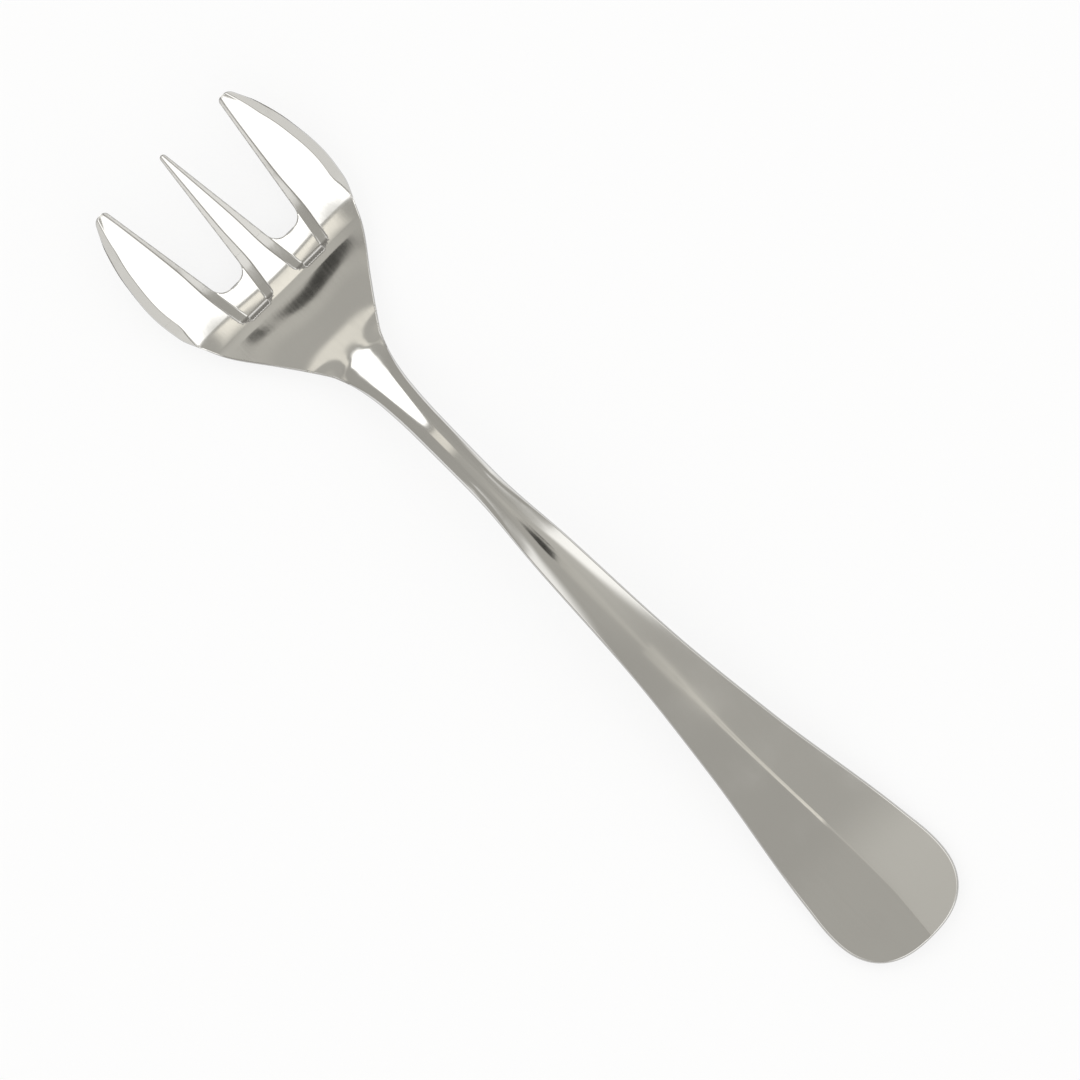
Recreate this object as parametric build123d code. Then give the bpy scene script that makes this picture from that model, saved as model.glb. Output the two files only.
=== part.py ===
"""Oyster fork: three bevelled tines, a dished palm, a round neck and a ridged handle.

The real fork is one forging. It is shaped here in named zones that meet face to face: the head with its
tines, the neck and the handle. The left half of each is a loft through sections across the fork, which
carry the crown or dish, the chamfered rim and the belly. The head is then bevelled, fluted and slotted,
its tines are cut off at a seam, and each zone is joined to its mirror image.

All sizes are in millimetres. A station is a distance measured back from the tips of the tines. In the
finished frame +X points to the tips, +Y to the left tine and +Z up from the table.
"""
import math
import os

from build123d import *

# Lengths from the tips to the end of the handle
tine_length = 19.2        # tips to the bottom of the slots
web_length = 3.4          # bottom of the slots to the bend across the head
palm_length = 15.4        # bend to the heel, where the neck rises out of the palm
neck_length = 38.0        # heel to the crest of the arch
handle_length = 74.0      # crest of the arch to the end of the handle

# Runs within those lengths
bulge_run = 14.4          # tips to the widest part of the head
bend_run = 1.1            # over which the head bends
dip_run = 4.9             # bend to the lowest part of the palm
lip_run = 1.6             # over which the palm turns up into the heel
heel_run = 2.0            # over which the heel eases into the neck
lower_neck_run = 13.0     # heel to the round middle of the neck
waist_run = 24.3          # heel to the narrowest part of the neck
shoulder_run = 18.5       # crest to the start of the straight part of the handle
settle_run = 11.8         # over which the handle levels out onto the table
rest_run = 10.4           # where the handle touches the table to its end
end_run = 9.6             # widest part of the handle to its end

# Widths
head_width = 32.9         # across the outer tines where they bulge most
root_narrowing = 1.1      # by which the head is narrower at the bottom of the slots
bend_narrowing = 3.9      # by which it is narrower at the bend
heel_width = 9.0          # at the heel
lower_neck_width = 4.6    # at the round middle of the neck
neck_width = 4.4          # at the waist of the neck
crest_width = 6.2         # at the crest of the arch
shoulder_width = 8.2      # at the start of the straight part of the handle
handle_width = 19.9       # near the end of the handle
outer_tip_width = 2.0     # of each outer tine
middle_tip_width = 0.9    # of the middle tine
middle_root_width = 5.8   # of the middle tine at the bottom of the slots
slot_mouth = 10.3         # of each slot between the tips
slot_floor = 4.8          # of each slot at its bottom

# Outline between the named widths: the share of the way along, and of the change in width made by there
tip_flare = [(0.29, 0.53), (0.6, 0.84)]                      # tips to the bulge
palm_taper = [(0.17, 0.12), (0.58, 0.565), (0.85, 0.855)]    # bend to the heel
neck_taper = [(0.3, 0.6), (0.6, 0.87)]                       # heel to the middle of the neck
handle_flare = [(0.4, 0.34), (0.88, 0.91)]                   # shoulder to the widest part

# Rakes of the upper face on the centre line, in degrees
tip_rake = 23.5
root_rake = 18.3
palm_rake = 12.0          # just behind the bend
lip_rake = 16.0           # where the palm turns up
heel_rake = 33.0          # at its steepest
neck_rake = 22.0          # above the heel
lower_neck_rake = 14.0
waist_rake = 5.0
end_rake = 3.4

# Thicknesses along the outline
tip_rim = 1.25
head_rim = 1.8
neck_rim = 1.25
handle_rim = 1.4

# Cross-sections
dish_depth = 0.6          # how far the rim of the head stands above its centre
head_belly = 1.0          # how far the underside of the head curves up to its rim
neck_crown = 1.3          # how far the neck falls from its crown to its sides
crest_crown = 0.6         # the same at the crest of the arch
neck_belly = 1.1          # how far the underside of the neck curves up to its sides
ridge_height = 1.1        # of the ridge along the handle above its rims
rim_chamfer = 0.35        # along the outline, above and below
slot_corner = 1.7         # rounding in the bottom of the slots
tip_round = 0.65          # rounding at the corners of the outer tips
middle_tip_round = 0.43   # the same on the middle tine
tip_trim = 0.2            # taken off the outer corner of each outer tip
end_fullness = 2.5        # exponent of the end curve, where 2 is a plain ellipse
end_flat = 0.03           # left off the end curve as a small flat

# Bevels on the tines
bevel_drop = 1.25         # along the outer edges
bevel_tip_drop = 0.5
bevel_run_in = 5.8        # from the tips to the full bevel
bevel_angle = 33.0
flute_depth = 0.95        # of the channel behind each slot
flute_tip_depth = 0.2
flute_mid_depth = 0.5
flute_run_in = 12.5       # from the tips to the middle depth
flute_run_out = 2.7       # from the bend to the end of the channel
flute_angle = 30.0

# Allowances
widest_chamfer = 0.6      # most of a section's half width that its chamfer may take up
small_step = 0.001        # for reading the slope of the outline
overrun = 1.5             # how far cutting shapes run past what they cut
clear = 0.2               # how far a cut rises above the face where it runs out
section_step = 1.8        # between the sections of the head
long_step = 2.6           # between those of the neck and the handle
end_turn = 11.25          # degrees between those round the end of the handle
cut_step = 1.4            # between those of the bevels and the flutes
seam_back = 0.8           # tine seams ahead of the slot corners
seam_rise = 3.5           # neck seam behind the heel

# Stations
bend = tine_length + web_length
flute_end = bend + flute_run_out
palm_low = bend + dip_run
heel = bend + palm_length
lip = heel - lip_run
lower_neck = heel + lower_neck_run
waist = heel + waist_run
crest = heel + neck_length
shoulder = crest + shoulder_run
overall_length = crest + handle_length
rest = overall_length - rest_run
flank = rest - settle_run
widest = overall_length - end_run


def hermite(points):
    """Return a smooth function through (station, value, slope) points, straight beyond the ends."""
    def value_at(s):
        if s <= points[0][0]:
            return points[0][1] + points[0][2] * (s - points[0][0])
        for (s0, v0, m0), (s1, v1, m1) in zip(points, points[1:]):
            if s <= s1:
                span = s1 - s0
                t = (s - s0) / span
                ease = t * t * (3 - 2 * t)
                swing = m0 * t * (1 - t)**2 - m1 * t * t * (1 - t)
                return v0 + (v1 - v0) * ease + span * swing
        return points[-1][1] + points[-1][2] * (s - points[-1][0])
    return value_at


def monotone(points):
    """Return a smooth function through (station, value) points that never overshoots them."""
    steps = [(b[0] - a[0], (b[1] - a[1]) / (b[0] - a[0])) for a, b in zip(points, points[1:])]
    slopes = [steps[0][1]]
    for (before, low), (after, high) in zip(steps, steps[1:]):
        if low * high <= 0:
            slopes.append(0.0)
            continue
        weight = (before + 2 * after) / (3 * (before + after))
        slopes.append(low * high / (weight * high + (1 - weight) * low))
    slopes.append(steps[-1][1])
    return hermite([(s, value, slope) for (s, value), slope in zip(points, slopes)])


# Half widths along the fork, as if the handle ran on past its end
tip_span = middle_tip_width + 2 * (slot_mouth + outer_tip_width)
legs = [
    (-overrun, tip_span - overrun, []),
    (0.0, tip_span, tip_flare),
    (bulge_run, head_width, []),
    (tine_length, head_width - root_narrowing, []),
    (bend, head_width - bend_narrowing, palm_taper),
    (heel, heel_width, neck_taper),
    (lower_neck, lower_neck_width, []),
    (waist, neck_width, []),
    (crest, crest_width, []),
    (shoulder, shoulder_width, handle_flare),
    (widest, handle_width, []),
    (overall_length + overrun, handle_width, []),
]
outline = []
for (s0, width0, shares), (s1, width1, _) in zip(legs, legs[1:]):
    for way, change in [(0, 0)] + shares:
        outline.append((s0 + way * (s1 - s0), (width0 + change * (width1 - width0)) / 2))
outline.append((legs[-1][0], legs[-1][1] / 2))
half_width = monotone(outline)


def plan_width(s):
    """Return the half width of the plan, which closes in a full round end."""
    share = min(max((s - widest) / end_run, 0), 1)
    return half_width(s) * (1 - share**end_fullness)**(1 / end_fullness)


def dish(s):
    """Return how far the upper face rises to its rim in the head."""
    return dish_depth * (2 * half_width(s) / head_width)**2


def ridge(s):
    """Return how far the upper face falls to its rim along the handle."""
    return ridge_height * 2 * half_width(s) / handle_width


def belly_of_head(s):
    """Return how far the lower face rises to its rim in the head."""
    return head_belly * (2 * half_width(s) / head_width)**2


rim_fall = monotone([
    (0.0, -dish(0.0)),
    (bulge_run, -dish(bulge_run)),
    (bend, -dish(bend)),
    (lip, -dish(lip)),
    (heel + heel_run, neck_crown),
    (waist, neck_crown),
    (crest, crest_crown),
    (shoulder, ridge(shoulder)),
    (flank, ridge(flank)),
    (widest, ridge(widest)),
    (overall_length, ridge(widest)),
])
tongue = monotone([(palm_low, 0.0), (lip, 1.0), (heel + heel_run, 1.0), (lower_neck, 0.0), (waist, 0.0)])
roof = monotone([(waist, 0.0), (crest, 0.0), (shoulder, 0.5), (flank, 1.0), (overall_length, 1.0)])
belly = monotone([
    (0.0, belly_of_head(0.0)),
    (bulge_run, belly_of_head(bulge_run)),
    (bend, belly_of_head(bend)),
    (lip, belly_of_head(lip)),
    (lower_neck, neck_belly),
    (waist, neck_belly),
    (shoulder, neck_belly / 2),
    (flank, 0.0),
    (overall_length, 0.0),
])
rim_thickness = monotone([
    (0.0, tip_rim),
    (tine_length, head_rim),
    (lip, head_rim),
    (lower_neck, neck_rim),
    (waist, neck_rim),
    (shoulder, handle_rim),
    (overall_length, handle_rim),
])


def thickness(s):
    """Return the thickness on the centre line."""
    return rim_thickness(s) + rim_fall(s) + belly(s)


def slope(rake):
    """Return the rise per millimetre of a rake in degrees."""
    return math.tan(math.radians(rake))


def rise(line):
    """Return the height gained along (station, slope) points whose slopes change evenly."""
    return sum((b[0] - a[0]) * (a[1] + b[1]) / 2 for a, b in zip(line, line[1:]))


# Centre line of the upper face, set so that the palm and the handle both touch the table
front_line = [
    (0.0, -slope(tip_rake)),
    (bend, -slope(root_rake)),
    (bend + bend_run, -slope(palm_rake)),
    (palm_low, 0.0),
]
neck_line = [
    (palm_low, 0.0),
    (lip, slope(lip_rake)),
    (heel, slope(heel_rake)),
    (heel + heel_run, slope(neck_rake)),
    (lower_neck, slope(lower_neck_rake)),
    (waist, slope(waist_rake)),
    (crest, 0.0),
]
crest_height = thickness(palm_low) + rise(neck_line)
glide = (crest_height - thickness(rest)) / ((flank - shoulder + rest - crest) / 2)
handle_line = [
    (crest, 0.0),
    (shoulder, -glide),
    (flank, -glide),
    (rest, 0.0),
    (overall_length, slope(end_rake)),
]
centre_line = front_line + neck_line[1:] + handle_line[1:]
tip_height = thickness(palm_low) - rise(front_line)
centre_height = hermite([
    (s, tip_height + rise(centre_line[:i + 1]), steepness)
    for i, (s, steepness) in enumerate(centre_line)
])

bevel = monotone([
    (0.0, bevel_tip_drop),
    (bevel_run_in, bevel_drop),
    (tine_length - slot_corner, bevel_drop),
    (bend, -clear),
])
flute = monotone([
    (0.0, flute_tip_depth),
    (flute_run_in, flute_mid_depth),
    (tine_length, flute_depth),
    (bend - bend_run, flute_depth),
    (flute_end, -clear),
])


def along(s):
    """Return the X of a station."""
    return overall_length / 2 - s


def top_height(s, y):
    """Return the height of the upper face and its slope across the fork."""
    half = half_width(s)
    u = y / half
    bell = 2 * tongue(s)
    crown = u * u * (1 + bell * (1 - u))
    crown_slope = u * (2 + bell * (2 - 3 * u))
    fall = rim_fall(s)
    height = centre_height(s) - fall * (crown + roof(s) * (u - crown))
    return height, -fall * (crown_slope + roof(s) * (1 - crown_slope)) / half


def bottom_height(s, y):
    """Return the height of the lower face and its slope across the fork."""
    half = half_width(s)
    height = centre_height(s) - thickness(s) + belly(s) * (y / half)**2
    return height, 2 * belly(s) * y / half**2


def slot_inner(s):
    """Return the Y of the slot's side on the middle tine."""
    return (middle_tip_width + (middle_root_width - middle_tip_width) * s / tine_length) / 2


def slot_outer(s):
    """Return the Y of the slot's side on the outer tine."""
    return slot_inner(s) + slot_mouth + (slot_floor - slot_mouth) * s / tine_length


def evenly(first, last, step):
    """Return values spread evenly from first to last, about a step apart."""
    count = round((last - first) / step)
    return [first + (last - first) * i / count for i in range(count + 1)]


def chamfer_reach(s):
    """Return how far the chamfer reaches in across the fork, which is further where the outline slants."""
    slant = (plan_width(s + small_step) - plan_width(s - small_step)) / (2 * small_step)
    return min(rim_chamfer * math.hypot(1, slant), widest_chamfer * plan_width(s))


def end_drop(s):
    """Return how far the chamfer has taken the face down on the centre line at the end of the handle."""
    return max(rim_chamfer - (overall_length - s), 0)


def half_section(s):
    """Return a section of the left half, running a little past the centre plane."""
    near = -overrun / 2
    rim = plan_width(s)
    edge = rim - chamfer_reach(s)
    third = (edge - near) / 3
    faces = []
    for height, up in ((top_height, 1), (bottom_height, -1)):
        near_z, near_slope = height(s, near)
        edge_z, edge_slope = height(s, edge)
        points = [
            (near, near_z),
            (near + third, near_z + third * near_slope),
            (edge - third, edge_z - third * edge_slope),
            (edge, edge_z),
        ]
        faces.append(Bezier(*[(along(s), y, z - up * end_drop(s)) for y, z in points]))
    top, bottom = faces
    upper = (along(s), rim, top_height(s, rim)[0] - rim_chamfer)
    lower = (along(s), rim, bottom_height(s, rim)[0] + rim_chamfer)
    edges = Polyline(top @ 1, upper, lower, bottom @ 1).edges()
    return make_face([top, *edges, bottom, Line(bottom @ 0, top @ 0)])


def section(s, corners):
    """Return a flat face across the fork from (Y, Z) corners."""
    return make_face(Polyline(*[(along(s), y, z) for y, z in corners], close=True))


def bevel_section(s):
    """Return the cut that bevels an outer tine along its outer edge."""
    pitch = slope(bevel_angle)
    rim = half_width(s)
    top = top_height(s, rim)[0] + overrun
    inner = rim - (bevel(s) + overrun) / pitch
    outer = rim + overrun
    return section(s, [(inner, top), (outer, top - (outer - inner) * pitch), (outer, top)])


def flute_section(s):
    """Return the cut that sinks the bevelled channel of a slot into the upper face."""
    pitch = slope(flute_angle)
    inner = slot_inner(s)
    outer = slot_outer(s)
    climb = flute(s) + overrun
    inner_top = top_height(s, inner)[0] + overrun
    outer_top = top_height(s, outer)[0] + overrun
    return section(s, [
        (inner - climb / pitch, inner_top),
        (inner, inner_top - climb),
        (outer, outer_top - climb),
        (outer + climb / pitch, outer_top),
    ])


def left_half(stations):
    """Return the left half of a zone of the fork, lofted through its sections."""
    slab = loft([half_section(s) for s in stations])
    return split(slab, bisect_by=Plane((0, 0, 0), z_dir=(0, 1, 0)), keep=Keep.TOP)


def whole(piece):
    """Return a left half joined to its mirror image."""
    return piece + mirror(piece, about=Plane.XZ)


# Loft the zones, with sections that crowd in round the end of the handle
tine_seam = tine_length - slot_corner - seam_back
neck_seam = heel + seam_rise
end_stations = [
    min(widest + end_run * math.sin(math.radians(turn))**(2 / end_fullness), overall_length - end_flat)
    for turn in evenly(0, 90, end_turn)
]
front = left_half(evenly(-overrun, neck_seam, section_step))
neck = left_half(evenly(neck_seam, waist, long_step))
handle = left_half(evenly(waist, widest, long_step)[:-1] + end_stations)

# Bevel the outer tine and sink the flute that runs on behind the slot
front -= loft([bevel_section(s) for s in evenly(-overrun, bend, cut_step)])
front -= loft([flute_section(s) for s in evenly(-overrun, flute_end, cut_step)])

# Cut the slot and the rounded tips
slot_line = [
    (along(0), slot_inner(0)),
    (along(tine_length), slot_inner(tine_length)),
    (along(tine_length), slot_outer(tine_length)),
    (along(0), slot_outer(0)),
    (along(0), tip_span / 2 - tip_trim),
]
corner_radii = [middle_tip_round, slot_corner, slot_corner, tip_round, tip_round]
comb = make_face(Polyline(
    (along(-2 * overrun), -overrun),
    (along(0), -overrun),
    *slot_line,
    (along(bevel_run_in), tip_span / 2 + bevel_run_in),
    (along(-2 * overrun), tip_span / 2 + bevel_run_in),
    close=True,
))
for corner, radius in zip(slot_line, corner_radii):
    comb = fillet(comb.vertices().sort_by_distance((*corner, 0))[:1], radius)
front -= extrude(Pos(0, 0, -overrun) * comb, amount=2 * tip_height, dir=(0, 0, 1))

# Cut off the tines and join each zone to its mirror image
seam = Plane((along(tine_seam), 0, 0), z_dir=(1, 0, 0))
middle_tine, outer_tine = split(front, bisect_by=seam, keep=Keep.TOP).solids().sort_by(Axis.Y)
nodes = {
    "tine_left": outer_tine,
    "tine_middle": whole(middle_tine),
    "tine_right": mirror(outer_tine, about=Plane.XZ),
    "head": whole(split(front, bisect_by=seam, keep=Keep.BOTTOM)),
    "neck": whole(neck),
    "handle": whole(handle),
}
os.makedirs("parts", exist_ok=True)
for name, node in nodes.items():
    export_step(node, f"parts/{name}.step")
    print(name, round(node.volume, 1), node.bounding_box())
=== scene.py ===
"""Oyster fork: the rounded, polished skin of the forged steel, on a pale floor in a soft studio.

Each zone of the forging is skinned from the same section rules as its solid. The neck is swept by
Geometry Nodes. The plan of each other zone is filled with triangles, lifted to the upper and the lower
face and rounded along the rims, and every corner is given the true normal of the faces, so that the
polish mirrors the studio without a seam between the zones.

Stations are distances in millimetres back from the tips of the tines.
"""
import math

import bpy
import numpy as np
from bpy.props import FloatProperty, FloatVectorProperty, PointerProperty
from mathutils import Matrix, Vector
from mathutils.geometry import delaunay_2d_cdt
from mathutils.kdtree import KDTree


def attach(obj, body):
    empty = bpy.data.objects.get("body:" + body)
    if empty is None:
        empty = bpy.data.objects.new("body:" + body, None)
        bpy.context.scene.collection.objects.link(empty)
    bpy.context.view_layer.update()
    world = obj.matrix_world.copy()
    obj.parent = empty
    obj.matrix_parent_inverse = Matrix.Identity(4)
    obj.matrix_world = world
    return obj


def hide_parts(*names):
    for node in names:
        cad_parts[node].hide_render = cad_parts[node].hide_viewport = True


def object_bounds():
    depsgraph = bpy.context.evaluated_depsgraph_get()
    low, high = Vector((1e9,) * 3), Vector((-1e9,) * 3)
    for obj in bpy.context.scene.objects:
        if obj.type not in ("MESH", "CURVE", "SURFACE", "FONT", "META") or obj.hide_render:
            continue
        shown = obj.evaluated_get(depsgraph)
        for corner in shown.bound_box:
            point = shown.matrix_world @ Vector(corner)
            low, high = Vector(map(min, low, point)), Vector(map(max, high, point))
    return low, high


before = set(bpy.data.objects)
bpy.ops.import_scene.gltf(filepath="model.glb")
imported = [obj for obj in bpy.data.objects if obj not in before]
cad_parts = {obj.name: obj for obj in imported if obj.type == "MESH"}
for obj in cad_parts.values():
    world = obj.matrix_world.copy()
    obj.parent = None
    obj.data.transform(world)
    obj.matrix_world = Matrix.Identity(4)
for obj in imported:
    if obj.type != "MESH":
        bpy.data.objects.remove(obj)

bl_info = {
    "name": "Oyster fork",
    "version": (1, 0, 0),
    "blender": (4, 5, 0),
    "location": "View3D > Sidebar > Fork",
    "description": "Skins a forged oyster fork in polished steel and sets its stage",
    "category": "Object",
}

CAD_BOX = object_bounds()
BODY = "root"
MM = 0.001
PHOTO_SIZE = 1080            # pixels along each side of the photograph
PHOTO_SCALE = 7.28           # its pixels to the millimetre at the table

# Stations
BEVEL_FULL = 5.8             # where the bevels of the outer tines reach their depth
MID_TINE = 12.5
BULGE = 14.4                 # widest part of the head
TINE_SEAM = 16.7             # where the tines meet the head
SLOT_END = 19.2              # bottom of the slots
BEND_START = 21.5            # where the head starts to bend
BEND = 22.6                  # line across the head
FLUTE_FULL = 23.3            # where the flutes start to run out
FLUTE_END = 24.7
PALM_LOW = 27.5              # lowest part of the palm
LIP = 34.5                   # where the palm turns up
HEEL_FOOT = 35.2             # where the dish starts to turn into the crown of the neck
HEEL = 38.0                  # where the sides of the head meet the neck
NECK_FOOT = 40.0             # where the neck starts to rise at its steepest
NECK_SEAM = 41.5             # where the head meets the neck
HEEL_TOP = 43.0              # where the crown of the neck is full
LOWER_NECK = 51.0
WAIST = 62.3                 # narrowest part, where the neck meets the handle
CREST = 76.0                 # top of the arch
SHOULDER = 94.5              # start of the straight part of the handle
BOW_START = 108.0            # where the ridge starts to bow to one side
FLANK = 127.8                # end of the straight part
REST = 139.6                 # where the handle touches the table
WIDEST = 140.4
LENGTH = 150.0
OVERRUN = 1.5

# Widths along the fork, with the share of the way to the next and of the change made by there
HEAD_WIDTH = 32.9
HANDLE_WIDTH = 19.9
WIDTHS = [
    (-OVERRUN, 24.0, []),
    (0.0, 25.5, [(0.29, 0.53), (0.6, 0.84)]),
    (BULGE, HEAD_WIDTH, []),
    (SLOT_END, 31.8, []),
    (BEND, 29.0, [(0.17, 0.12), (0.58, 0.565), (0.85, 0.855)]),
    (HEEL, 9.0, [(0.3, 0.6), (0.6, 0.87)]),
    (LOWER_NECK, 4.6, []),
    (WAIST, 4.4, []),
    (CREST, 6.2, []),
    (SHOULDER, 8.2, [(0.4, 0.34), (0.88, 0.91)]),
    (WIDEST, HANDLE_WIDTH, []),
    (LENGTH + OVERRUN, HANDLE_WIDTH, []),
]
END_FULLNESS = 2.5           # exponent of the end curve
MIDDLE_TIP = 0.9             # widths of the middle tine
MIDDLE_ROOT = 5.8
SLOT_MOUTH = 10.3            # widths of the slots
SLOT_FLOOR = 4.8

# Corners of the plan: how far back along each side the rounding starts
SLOT_CORNER = 1.7
INNER_TIP_CORNER = 0.6
OUTER_TIP_CORNER = 0.75
MIDDLE_TIP_CORNER = 0.42

# Thicknesses at the rim
TIP_RIM = 1.25
HEAD_RIM = 1.8
NECK_RIM = 1.25
HANDLE_RIM = 1.4

# Heights of the sections
DISH = 0.6
HEAD_BELLY = 1.0
NECK_CROWN = 1.3
CREST_CROWN = 0.6
NECK_BELLY = 1.1
TONGUE_BELL = 2.6            # how much steeper the sides of the tongue are than a round crown's
RIDGE = 1.1
RIDGE_BOW = 0.9              # how far the ridge bows to one side
END_BOW = 0.1                # and how far at the end of the handle
END_RAKE = 1.0               # degrees
BEVEL_DEPTH = 1.25
BEVEL_PITCH = math.tan(math.radians(33.0))
FLUTE_PITCH = math.tan(math.radians(30.0))
CLEAR = 0.2                  # how far above the upper face the cuts end
# The ends of the flutes are also darkened over this length with painted shade.
RUN_OUT = 0.3                # length over which the ends of the flutes lose their polish

# Rakes of the upper face along the centre line, as (station, degrees)
FRONT_RAKES = [
    (0.0, -23.5), (BEND_START, -18.4), (22.65, -15.0), (24.2, -13.6), (25.5, -2.2), (PALM_LOW, 0.0)]
NECK_RISE = 23.5
NECK_RAKES = [
    (PALM_LOW, 0.0), (36.8, 13.8), (37.8, 16.8), (38.5, 22.5), (NECK_FOOT, NECK_RISE), (44.0, NECK_RISE),
    (LOWER_NECK, 16.3), (53.0, 13.0), (WAIST, 5.0), (CREST, 0.0)]

# Meshing
RING_COUNT = 6               # rows of points round each rim
SEAM_STEP = 0.12
RIM_STEP = 0.3
FINE_STEP = 0.4              # between the points of the head and tines
BROAD_STEP = 0.7             # between those of the handle
GRID_GAP = 0.55              # share of those steps that is kept clear round other points
EDGE_STEP = 0.25             # along the edges of the faces
EDGE_GAP = 0.08              # kept clear round other points there
EDGE_OFFSETS = (-0.16, -0.08, 0.0, 0.08, 0.16)      # of the rows of points along each edge
RIDGE_OFFSETS = (-0.5, -0.3, -0.15, 0.0, 0.15, 0.3, 0.5)
EDGE_PASSES = 6              # of the search for an edge
BEND_STEP = 0.13             # between the rows across the bends
CORNER_STEPS = 10
END_SAMPLES = 400            # for spacing the points of the end curve evenly
MERGE_DISTANCE = 1e-7
SLOPE_STEP = 0.01            # for reading the slopes of the faces
NECK_RINGS = 140
NECK_POINTS = 96             # in each ring of the neck
RIM_SHARE = 0.3              # of them, those that round its rims
SEAM_ANGLE = 1.0             # radians, above which an edge of the neck is a seam's

# Finish of the steel
LINE_SCALE = (40.0, 2600.0, 2600.0)     # of the hairlines, fine across the fork
CLOUD_SCALE = 90.0           # of the smudges
LINE_DULLNESS = 0.06         # how much of the tarnish shows in the hairlines
CLOUD_DULLNESS = 0.05
# how far the rims and the edges of the bevels and flutes are darkened towards the tarnish colour, a painted
# shade
EDGE_PAINTED_SHADE = 0.85
LINE_RELIEF = 0.008          # strength of the relief of the hairlines
LINE_DEPTH = 0.0001

# Studio
CAMERA_DARKNESS = 0.92
LEAST_FLAT = 0.0001          # keeps a division from failing straight above

# Inputs of the nodes that sweep the neck
NECK_INPUTS = {
    "First station": "NodeSocketFloat",
    "Last station": "NodeSocketFloat",
    "Rim rounding": "NodeSocketFloat",
    "Middle softness": "NodeSocketFloat",
    "Rings": "NodeSocketInt",
    "Points round": "NodeSocketInt",
    "Steel": "NodeSocketMaterial",
}


class ForgeSettings(bpy.types.PropertyGroup):
    """Shape of the rims and edges."""

    rim_round: FloatProperty(
        name="Rim rounding", description="Radius along the rims of the neck and handle",
        subtype="DISTANCE", unit="LENGTH", min=0.05 * MM, max=0.6 * MM, default=0.34 * MM)
    tine_round: FloatProperty(
        name="Tine rounding", description="Radius along the rims of the head and tines",
        subtype="DISTANCE", unit="LENGTH", min=0.05 * MM, max=0.25 * MM, default=0.2 * MM)
    edge_soft: FloatProperty(
        name="Edge softness", description="Depth over which the bevels blend into the faces",
        subtype="DISTANCE", unit="LENGTH", min=0.01 * MM, max=0.3 * MM, default=0.09 * MM)
    ridge_soft: FloatProperty(
        name="Ridge softness", description="Half width over which the ridge of the handle is rounded",
        subtype="DISTANCE", unit="LENGTH", min=0.01 * MM, max=1.0 * MM, default=0.25 * MM)


class SteelSettings(bpy.types.PropertyGroup):
    """Finish of the forged steel."""

    color: FloatVectorProperty(
        name="Colour", description="Reflected colour of the polished steel", subtype="COLOR",
        size=3, min=0.0, max=1.0, default=(0.88, 0.875, 0.855))
    roughness: FloatProperty(
        name="Roughness", description="Roughness of the cleanest polish", subtype="FACTOR",
        min=0.0, max=1.0, default=0.055)
    hairline: FloatProperty(
        name="Hairlines", description="How much the polishing lines along the fork roughen it",
        subtype="FACTOR", min=0.0, max=1.0, default=0.05)
    smudge: FloatProperty(
        name="Smudges", description="How much handling marks roughen the polish",
        subtype="FACTOR", min=0.0, max=1.0, default=0.06)
    # The tarnish colour also serves as the painted shade that darkens the rims and the edges of the bevels
    # and flutes.
    tarnish_and_rim_shade: FloatVectorProperty(
        name="Tarnish", description="Reflected colour of the hairlines and of the duller stamped edges",
        subtype="COLOR", size=3, min=0.0, max=1.0, default=(0.42, 0.41, 0.4))
    wear: FloatProperty(
        name="Edge wear", description="How much the edges are roughened by use",
        subtype="FACTOR", min=0.0, max=1.0, default=0.12)


class StageSettings(bpy.types.PropertyGroup):
    """Studio, floor and camera."""

    camera_height: FloatProperty(
        name="Camera height", description="Height of the camera above the floor", subtype="DISTANCE",
        unit="LENGTH", min=0.2, default=1.2)
    camera_turn: FloatProperty(
        name="Camera turn", description="How far the camera is turned about the upright axis",
        subtype="ANGLE", unit="ROTATION", default=math.radians(-134.6))
    camera_ahead: FloatProperty(
        name="Camera ahead", description="How far the camera stands towards the tips from the middle",
        subtype="DISTANCE", unit="LENGTH", default=1.5 * MM)
    floor_size: FloatProperty(
        name="Floor size", description="Length of each side of the floor", subtype="DISTANCE",
        unit="LENGTH", min=0.5, default=4.0)
    floor_glow: FloatProperty(
        name="Floor glow", description="Share of the floor that the camera sees as plain white",
        subtype="FACTOR", min=0.0, max=1.0, default=0.75)
    ceiling: FloatVectorProperty(
        name="Ceiling", description="Colour of the studio's unlit ceiling", subtype="COLOR",
        size=3, min=0.0, max=1.0, default=(0.42, 0.408, 0.378))
    strip_color: FloatVectorProperty(
        name="Strips", description="Colour of the studio's cream strips", subtype="COLOR",
        size=3, min=0.0, max=1.0, default=(1.0, 0.95, 0.84))
    panel: FloatProperty(
        name="Panels", description="Brightness of the studio's white panels", min=0.0, default=1.15)


class Profile:
    """A smooth line through (station, value, slope) points, straight beyond its ends."""

    def __init__(self, points):
        self.points = points

    def __call__(self, s):
        at, values, slopes = np.array(self.points).T
        i = np.clip(np.searchsorted(at, s) - 1, 0, len(at) - 2)
        span = at[i + 1] - at[i]
        t = np.clip((s - at[i]) / span, 0, 1)
        ease = t * t * (3 - 2 * t)
        swing = slopes[i] * t * (1 - t)**2 - slopes[i + 1] * t * t * (1 - t)
        beyond = slopes[0] * np.minimum(s - at[0], 0) + slopes[-1] * np.maximum(s - at[-1], 0)
        return values[i] + (values[i + 1] - values[i]) * ease + span * swing + beyond

    def part(self, first, last):
        """Return its points between two stations, and one at each of the two."""
        ends = []
        for s in (first, last):
            slope = (self(s + SLOPE_STEP) - self(s - SLOPE_STEP)) / (2 * SLOPE_STEP)
            ends.append((s, float(self(s)), float(slope)))
        return [ends[0], *(point for point in self.points if first < point[0] < last), ends[1]]


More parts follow.
